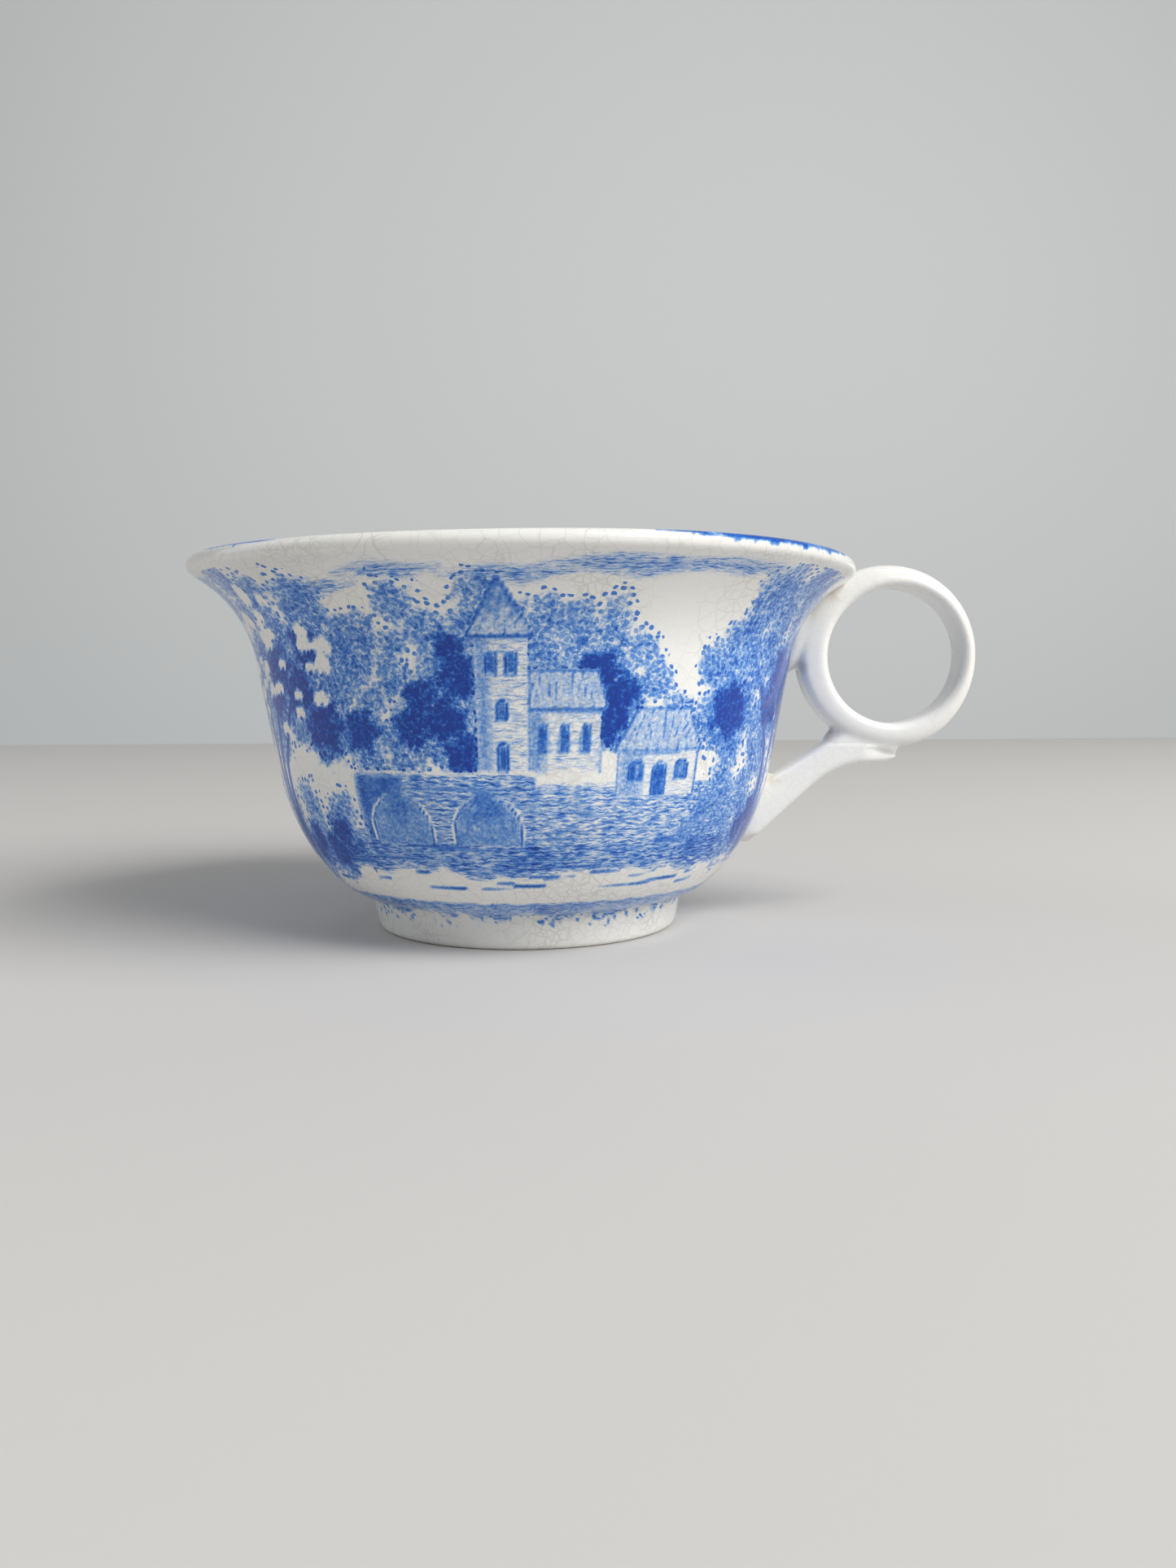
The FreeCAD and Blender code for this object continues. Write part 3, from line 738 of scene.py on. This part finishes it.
def make_ink_group():
    """Turns the sheet's four layers into engraved ink, 0 bare to 1 full."""
    group, inward, outward = new_group(
        "engraved_ink", [("Sheet", "Vector"), ("Wash", "Float"), ("Hatch", "Float"),
                         ("Leaf", "Float"), ("Line", "Float")], [("Ink", "Float")])
    sheet = inward.outputs["Sheet"]
    place = wandering(group, sheet, 0.9, 0.7)

    leaf = inward.outputs["Leaf"]
    stipple = noise(group, place, 2.3, 3.0, 0.65)
    clumps = noise(group, place, 1.25, 4.0, 0.7)
    patches = noise(group, place, 0.42, 3.0, 0.6)
    strokes = noise(group, stretched(group, place, (0.55, 3.2, 1.0)), 1.0, 3.0, 0.6)

    def worn(layer, grain, contrast):
        """A layer broken up by its grain, and unevenly printed."""
        uneven = times(group, maths(group, "SUBTRACT", patches, 0.5), 0.7)
        printed = times(group, layer, plus(group, uneven, 1.0))
        swing = times(group, maths(group, "SUBTRACT", grain, 0.5), contrast)
        tone = plus(group, printed, swing)
        present = ramp_between(group, layer, 0.02, 0.22)
        return times(group, maths(group, "MAXIMUM", tone, 0.0), present)

    grain = times(group, plus(group, stipple, clumps), 0.5)
    contrast = plus(group, times(group, leaf, 1.3), 1.5)
    wash = worn(inward.outputs["Wash"], grain, contrast)
    hatch = worn(inward.outputs["Hatch"], strokes, 2.6)

    dabs = cells(group, place, 0.86, flat=True, randomness=0.75)
    size = times(group, ramp_between(group, leaf, 0.05, 0.6), 0.29)
    cover = ramp_between(group, maths(group, "SUBTRACT", dabs.outputs["Distance"], size), 0.07, -0.07)
    edge = ramp_between(group, leaf, 1.0, 0.75)
    deeper = plus(group, times(group, inward.outputs["Wash"], 0.5), 0.30)
    strength = plus(group, times(group, edge, 0.30), deeper)
    leaves = times(group, times(group, cover, strength), ramp_between(group, leaf, 0.08, 0.2))

    line = inward.outputs["Line"]
    broken = times(group, maths(group, "SUBTRACT", stipple, 0.5), 0.8)
    drawn = times(group, plus(group, line, broken), ramp_between(group, line, 0.06, 0.3))
    darkest = maths(group, "MAXIMUM", maths(group, "MAXIMUM", wash, hatch),
                    maths(group, "MAXIMUM", leaves, drawn))
    soaked = times(group, times(group, leaves, wash), 0.35)
    both = maths(group, "ADD", darkest, soaked, clamp=True)
    group.links.new(both, outward.inputs["Ink"])
    return group


def make_glaze_group():
    """Fine crazing, pinholes, and a slightly uneven gloss and surface, from a place in metres."""
    group, inward, outward = new_group(
        "old_glaze", [("Place", "Vector"), ("Crazing", "Float")],
        [("Craze", "Float"), ("Specks", "Float"), ("Roughness", "Float"), ("Height", "Float")])
    place = inward.outputs["Place"]
    bent = wandering(group, place, 260.0, 0.0016)
    large = cells(group, bent, 440.0, "DISTANCE_TO_EDGE")
    small = cells(group, bent, 700.0, "DISTANCE_TO_EDGE")
    where = ramp_between(group, noise(group, place, 38.0, 2.0), 0.36, 0.6)
    wide = ramp_between(group, large.outputs["Distance"], 0.045, 0.008)
    narrow = times(group, ramp_between(group, small.outputs["Distance"], 0.06, 0.01), where)
    craze = times(group, maths(group, "MAXIMUM", wide, narrow), inward.outputs["Crazing"])
    patchy = ramp_between(group, noise(group, place, 90.0, 2.0), 0.25, 0.65)
    faded = times(group, craze, patchy)
    group.links.new(faded, outward.inputs["Craze"])

    spots = cells(group, place, 170.0)
    chosen = ramp_between(group, spots.outputs["Color"], 0.80, 0.86)
    dot = ramp_between(group, spots.outputs["Distance"], 0.075, 0.03)
    specks = times(group, dot, chosen)
    group.links.new(specks, outward.inputs["Specks"])

    handled = times(group, noise(group, place, 60.0, 3.0), 0.09)
    dulled = plus(group, times(group, faded, 0.14), times(group, specks, 0.3))
    roughness = plus(group, plus(group, handled, 0.06), dulled)
    group.links.new(roughness, outward.inputs["Roughness"])

    swell = times(group, noise(group, place, 75.0, 1.0), 0.9)
    orange = times(group, noise(group, place, 420.0, 1.0), 0.10)
    grooves = times(group, craze, -0.05)
    pits = times(group, specks, -0.12)
    height = plus(group, plus(group, swell, orange), plus(group, grooves, pits))
    group.links.new(height, outward.inputs["Height"])
    return group


def glaze_shader(tree, colour, glaze):
    """A clear, glossy glaze over the colour, a little dulled by use and along its crazing."""
    shader = tree.nodes["Principled BSDF"]
    tree.links.new(colour, shader.inputs["Base Color"])
    tree.links.new(glaze.outputs["Roughness"], shader.inputs["Roughness"])
    shader.inputs["IOR"].default_value = 1.52
    shader.inputs["Specular IOR Level"].default_value = 0.42
    bump = node(tree, "Bump", Height=glaze.outputs["Height"], Strength=0.5, Distance=0.00025)
    tree.links.new(bump.outputs[0], shader.inputs["Normal"])


def aged_white(tree, glaze, place):
    """The body's warm white, slightly uneven, with crazing and specks in it."""
    uneven = noise(tree, place, 45.0, 3.0)
    base = mix_colour(tree, times(tree, uneven, 0.5), BODY_WHITE, UNEVEN_WHITE)
    crazed = times(tree, glaze.outputs["Craze"], 0.28)
    base = mix_colour(tree, crazed, base, CRAZE_GREY)
    speckled = times(tree, glaze.outputs["Specks"], 0.7)
    return mix_colour(tree, speckled, base, SPECK_BROWN)


def make_printed_material(ink_group, glaze_group):
    """The bowl's and foot's finish: cobalt ink under the glaze."""
    material, tree = new_material("printed_earthenware")
    place = node(tree, "TexCoord").outputs["Object"]
    layers = stored(tree, "ink_layers")
    split = node(tree, "SeparateColor", Color=layers.outputs["Color"])
    sheet = tree.nodes.new("ShaderNodeUVMap")
    sheet.uv_map = "print_sheet"
    ink = use_group(tree, ink_group, Sheet=sheet.outputs[0], Wash=split.outputs[0],
                    Hatch=split.outputs[1], Leaf=split.outputs[2], Line=layers.outputs["Alpha"])
    glaze = use_group(tree, glaze_group, Place=place, Crazing=1.0)
    white = aged_white(tree, glaze, place)
    cobalt = tree.nodes.new("ShaderNodeValToRGB")
    tree.links.new(ink.outputs["Ink"], cobalt.inputs[0])
    stops = cobalt.color_ramp.elements
    for index, (position, colour) in enumerate(COBALT):
        stop = stops[index] if index < 2 else stops.new(position)
        stop.position = position
        stop.color = srgb(*colour)
    inked = mix_colour(tree, 1.0, white, cobalt.outputs[0], "MULTIPLY")
    glaze_shader(tree, inked, glaze)
    return material


def make_white_material(glaze_group):
    """The handle's finish: plain glaze, tinted brown where the clay is joined."""
    material, tree = new_material("white_earthenware")
    place = node(tree, "TexCoord").outputs["Object"]
    glaze = use_group(tree, glaze_group, Place=place, Crazing=0.35)
    # brownish tint at the handle's joints and in its fork
    joint_tint = stored(tree, "joint_tint")
    patchy = ramp_between(tree, noise(tree, place, 300.0, 3.0), 0.35, 0.7)
    mask = times(tree, times(tree, joint_tint.outputs["Fac"], patchy), 0.55)
    glaze_shader(tree, mix_colour(tree, mask, aged_white(tree, glaze, place), JOINT_BROWN), glaze)
    return material


# ------------------------------------------------------------------ bowl and foot
def numbers_of(items, attribute, width=1, kind=float):
    """One attribute of all of a mesh's vertices, corners or faces."""
    values = np.zeros(len(items) * width, kind)
    items.foreach_get(attribute, values)
    return values.reshape(-1, width) if width > 1 else values


def vertex_places(item):
    return numbers_of(item.data.vertices, "co", 3)


def turn_from_front(places):
    """Each place's angle round the cup, from the middle of the front to the right."""
    return np.arctan2(places[:, 0], -places[:, 1])


def print_turn(angle):
    """How far the print at an angle is turned: the back carries the front's print again."""
    return np.where(np.abs(angle) > math.pi / 2, np.sign(angle) * math.pi, 0.0)


def sheet_across(places):
    """How far round its print each place is, in mm from the print's middle."""
    angle = turn_from_front(places)
    return (angle - print_turn(angle)) * SHEET_RADIUS


def lay_out_sheet(item, lengths):
    """Give the piece a flat map of its print, in mm: round the ware, and along its outline."""
    data = item.data
    corners = numbers_of(data.loops, "vertex_index", kind=int)
    corners_a_face = numbers_of(data.polygons, "loop_total", kind=int)
    middles = np.repeat(numbers_of(data.polygons, "center", 3), corners_a_face, axis=0)
    turned = turn_from_front(vertex_places(item)[corners]) - print_turn(turn_from_front(middles))
    turned = (turned + math.pi) % (2 * math.pi) - math.pi
    flat = np.stack([turned * SHEET_RADIUS, lengths[corners]], axis=1)
    data.uv_layers.new(name="print_sheet").data.foreach_set("uv", flat.ravel())


def store_layers(item, sheet):
    """Keep the sheet's layers on the piece, as the four channels of one attribute."""
    layers = item.data.color_attributes.new("ink_layers", "FLOAT_COLOR", "POINT")
    values = np.stack([getattr(sheet, name) for name in PrintSheet.LAYERS], axis=1)
    layers.data.foreach_set("color", values.ravel().astype(np.float32))


def outline_lengths(outline, places):
    """The outline's point that each vertex came from, and its length along the outline in mm."""
    radius, height = np.hypot(places[:, 0], places[:, 1]), places[:, 2]
    corners = np.array([(point.x, point.y) for point in outline])
    steps = np.hypot(*np.diff(corners, axis=0).T)
    along = np.concatenate([[0], np.cumsum(steps)])
    nearest = np.zeros(len(radius), int)
    best = np.full(len(radius), 1e9)
    for index, (x, y) in enumerate(corners):
        distance = (radius - x) ** 2 + (height - y) ** 2
        closer = distance < best
        best[closer] = distance[closer]
        nearest[closer] = index
    return along[nearest], nearest


def paint_lip(sheet, angle, past_top):
    """The lip itself is bare, but the inner border's ragged edge runs over its top in places.

    past_top is the length inwards past the lip's top; right, left and back say how much further
    the border reaches there."""
    everywhere = np.arange(len(angle))
    right = 2.9 * np.exp(-((angle - 0.75) / 0.50) ** 4)
    left = 2.2 * np.exp(-((angle + 0.85) / 0.32) ** 4)
    back = 2.4 * np.clip((np.abs(angle) - 1.75) / 0.5, 0, 1)
    reach = right + left + back - 1.4 + 0.35 * sheet.ripple(everywhere, 0.9, 95)
    cover = np.clip((past_top + reach) / 0.4 + 0.5, 0, 1)
    blots = np.clip(0.85 + 0.5 * sheet.ripple(everywhere, 2.6, 96), 0.25, 0.9)
    bead = (past_top > -4.2) & (past_top < 3.0)
    for name in PrintSheet.LAYERS:
        getattr(sheet, name)[bead] = 0.0
    sheet.ink[bead] = (cover * blots)[bead]


def bowl_print(places, past_top):
    """The bowl's whole print: the scene outside, the border inside, and the lip between them."""
    across, height = sheet_across(places), places[:, 2]
    outside = past_top < 0
    scene = PrintSheet(across[outside], height[outside])
    paint_landscape(scene)
    paint_foot_grass(scene)
    border = PrintSheet(across[~outside], past_top[~outside])
    paint_inner_border(border)
    whole = PrintSheet(across, height)
    for name in PrintSheet.LAYERS:
        layer = getattr(whole, name)
        layer[outside] = getattr(scene, name)
        layer[~outside] = getattr(border, name)
    paint_lip(whole, turn_from_front(places), past_top)
    return whole


def bend_rim(item, places):
    """Hand-made unevenness: the rim dips and rises by a few tenths of a millimetre."""
    angle = turn_from_front(places)
    share = np.clip((places[:, 2] - 30) / 25, 0, 1) ** 2
    sag = 0.30 * np.sin(angle * 2 + 0.5) + 0.22 * np.sin(angle * 3 - 1.0) - 0.006 * places[:, 0]
    places[:, 2] += share * (sag - 0.25)
    item.data.vertices.foreach_set("co", (places * MM).ravel())
    item.data.update()


def make_bowl(material):
    outline = bowl_outline()
    item = add_object("printed_bowl", turned_mesh(outline, COLUMNS), material)
    places = vertex_places(item) / MM
    lengths, rows = outline_lengths(outline, places)
    lay_out_sheet(item, lengths)
    top_row = int(np.argmax([point.y for point in outline]))
    store_layers(item, bowl_print(places, lengths - lengths[rows == top_row][0]))
    bend_rim(item, places)
    stand_for(item, "bowl")


def foot_outline():
    """The foot's outline, once round, from the bowl down the outside and up the inside, in mm."""
    fine, inner_round, outer_round = 0.4, 0.8, 0.9
    joint = Vector((FOOT_JOINT_RADIUS, FOOT_HEIGHT + 0.25))
    neck, base, inner_base = Vector((24.5, 4.3)), Vector((23.5, 0.0)), Vector((20.5, 0.0))
    inner_top = Vector((19.9, FOOT_HEIGHT + 0.25))
    side = (neck - base).normalized()
    cove_centre = centre_of_tangent_arc(neck, side, joint)
    outer_start = base + side * outer_round
    outer_end = base - Vector((outer_round, 0))
    inner_side = (inner_top - inner_base).normalized()
    points = [joint] + arc_points(cove_centre, joint, neck, 0.25) + [neck]
    points += line_points(neck, outer_start, fine)
    points += rounded_corner(outer_start, base, outer_end)
    points += line_points(outer_end, inner_base + Vector((inner_round, 0)), fine)
    points += rounded_corner(inner_base + Vector((inner_round, 0)), inner_base,
                             inner_base + inner_side * inner_round)
    points += line_points(inner_base + inner_side * inner_round, inner_top, 0.8)
    points += [inner_top, joint]
    return points


def rounded_corner(start, corner, end):
    """A smooth turn from start to end, pulled towards the corner; both ends included."""
    count = 6
    points = []
    for k in range(count + 1):
        t = k / count
        points.append(start * (1 - t) ** 2 + corner * (2 * t * (1 - t)) + end * t ** 2)
    return points


def make_foot(material):
    outline = foot_outline()
    item = add_object("foot", turned_mesh(outline, COLUMNS // 2), material)
    places = vertex_places(item) / MM
    lengths, _ = outline_lengths(outline[:-1], places)
    lay_out_sheet(item, -lengths)
    sheet = PrintSheet(sheet_across(places), places[:, 2])
    paint_foot_grass(sheet)
    unprinted = np.hypot(places[:, 0], places[:, 1]) <= 21.8
    for name in PrintSheet.LAYERS:
        getattr(sheet, name)[unprinted] = 0.0
    store_layers(item, sheet)
    stand_for(item, "foot_ring")


# ------------------------------------------------------------------ handle
def add_ball(mesh, place, radii, lean):
    """A squashed ball, leaning towards the handle by some degrees, in mm."""
    turn = Matrix.Translation(Vector(place) * MM) @ Matrix.Rotation(math.radians(lean), 4, "Y")
    size = Matrix.Diagonal((*[r * MM for r in radii], 1.0))
    bmesh.ops.create_uvsphere(mesh, u_segments=48, v_segments=24, radius=1.0, matrix=turn @ size)


def whole_handle():
    """Ring, stem and slip run together into one soft form, as the glaze leaves them."""
    mesh = bmesh.new()
    for name in ("handle_ring", "handle_stem", "fork_slip_joint"):
        mesh.from_mesh(nodes[name].data)
    bmesh.ops.remove_doubles(mesh, verts=mesh.verts, dist=1e-6)
    slips = {
        "on the upper wall": ((43.6, 0, 45.4), (2.3, 3.35, 6.6), 23),
        "under the lip": ((46.6, 0, 50.8), (2.2, 3.0, 3.6), 42),
        "on the lower wall": ((36.9, 0, 18.0), (2.2, 2.95, 6.0), 20),
        "at the stem's end": ((35.2, 0, 14.1), (1.8, 2.2, 1.9), 20),
        "in the fork": ((50.6, 0, 29.9), (2.4, 2.5, 1.6), -35),
    }
    for place, radii, lean in slips.values():
        add_ball(mesh, place, radii, lean)
    material = bpy.data.materials.new("rough")
    item = add_object("handle_form", mesh, material)
    remesh = item.modifiers.new("remesh", "REMESH")
    remesh.mode = "VOXEL"
    remesh.voxel_size = 0.26 * MM
    smooth = item.modifiers.new("smooth", "SMOOTH")
    smooth.factor = 0.5
    smooth.iterations = 34
    depsgraph = bpy.context.evaluated_depsgraph_get()
    formed = bmesh.new()
    formed.from_mesh(bpy.data.meshes.new_from_object(item.evaluated_get(depsgraph)))
    bpy.data.objects.remove(item)
    bpy.data.materials.remove(material)
    round_off_ring(formed)
    return formed


def eased(value):
    """0 below 0, 1 above 1, smooth between."""
    value = min(1.0, max(0.0, value))
    return value * value * (3 - 2 * value)


def round_off_ring(mesh):
    """Finish the form as a wet sponge does: the ring's outer edge thinner and drawn in where it
    stands free, fuller above the fork, and the spur drawn out to a leaf's tip."""
    centre_across, centre_up = RING_CENTRE[0] * MM, RING_CENTRE[1] * MM
    spur_start, spur_length, spur_top = 53.5, 6.5, 28.3
    for vertex in mesh.verts:
        right, above = vertex.co.x - centre_across, vertex.co.z - centre_up
        reach, bearing = math.hypot(right, above) / MM, math.atan2(above, right)
        across, up = vertex.co.x / MM, vertex.co.z / MM
        outer = eased((reach - RING_SHOULDER) / 2.6)
        free = math.exp(-((bearing - 0.75) / 1.35) ** 4)
        fork = math.exp(-((bearing + 1.15) / 0.45) ** 2)
        if up > spur_top - 0.3:
            vertex.co.y *= 1 - outer * (0.07 + 0.15 * free)
        grow = 1 + outer * (0.03 * fork - 0.045 * free)
        vertex.co.x = centre_across + right * grow
        vertex.co.z = centre_up + above * grow
        along = eased((across - spur_start) / spur_length) * (1 - eased((across - 60.2) / 0.8))
        tip = along * eased((spur_top - up) / 0.9)
        vertex.co.y *= 1 - 0.5 * tip
        vertex.co.z -= 0.6 * tip * max(0.0, vertex.co.z - 25.6 * MM)


def keep_side(mesh, place, normal):
    """Cut the mesh by a plane, close the cut, and keep the side that the normal points to."""
    geometry = mesh.verts[:] + mesh.edges[:] + mesh.faces[:]
    made = bmesh.ops.bisect_plane(mesh, geom=geometry, dist=1e-7, plane_co=place, plane_no=normal,
                                  clear_inner=True)
    rim = [edge for edge in made["geom_cut"] if isinstance(edge, bmesh.types.BMEdge)]
    bmesh.ops.holes_fill(mesh, edges=rim, sides=0)
    for edge in rim:
        edge.smooth = False


def make_handle(material):
    """Cut the soft form where the pieces meet: wall slip, ring, fork slip, stem, wall slip."""
    form = whole_handle()
    def plane(across, up, normal):
        return Vector((across, 0, up)) * MM, Vector(normal).normalized()

    def flipped(cut):
        return cut[0], -cut[1]

    wall_top = plane(45.2, 45.0, (math.cos(0.40), 0, -math.sin(0.40)))
    wall_low = plane(38.9, 18.6, (math.cos(0.35), 0, -math.sin(0.35)))
    fork_high = plane(49.4, 30.6, (0.27, 0, 0.963))
    fork_low = plane(49.2, 29.6, (0.27, 0, 0.963))

    parts = {
        "upper_slip": ("upper_slip_joint", [fork_high, flipped(wall_top)]),
        "finger_ring": ("handle_ring", [fork_high, wall_top]),
        "fork_slip": ("fork_slip_joint", [flipped(fork_high), fork_low]),
        "stem": ("handle_stem", [flipped(fork_low), wall_low]),
        "lower_slip": ("lower_slip_joint", [flipped(fork_low), flipped(wall_low)]),
    }
    for name, (cad_node, planes) in parts.items():
        mesh = form.copy()
        for place, normal in planes:
            keep_side(mesh, place, normal)
        item = add_object(name, mesh, material)
        add_stain(item)
        stand_for(item, cad_node)
    form.free()


def add_stain(item):
    """A brownish tint where the handle meets the wall and in the fork."""
    places = vertex_places(item) / MM
    joint_tint = item.data.attributes.new("joint_tint", "FLOAT", "POINT")
    tinted_spots = ((39.6, 23.0, 2.2), (43.0, 40.6, 2.0), (48.6, 52.2, 2.2), (49.3, 29.8, 1.8),
                (36.0, 13.6, 1.6))
    amount = np.zeros(len(places))
    for across, up, reach in tinted_spots:
        amount = np.maximum(amount, 1 - np.hypot(places[:, 0] - across, places[:, 2] - up) / reach)
    joint_tint.data.foreach_set("value", np.clip(amount * 1.3, 0, 1).astype(np.float32))


# ------------------------------------------------------------------ put together
make_camera()
make_stage()
make_light()
ink_group = make_ink_group()
glaze_group = make_glaze_group()
printed = make_printed_material(ink_group, glaze_group)
white = make_white_material(glaze_group)
make_bowl(printed)
make_foot(printed)
make_handle(white)
bpy.context.scene.view_settings.view_transform = "Standard"
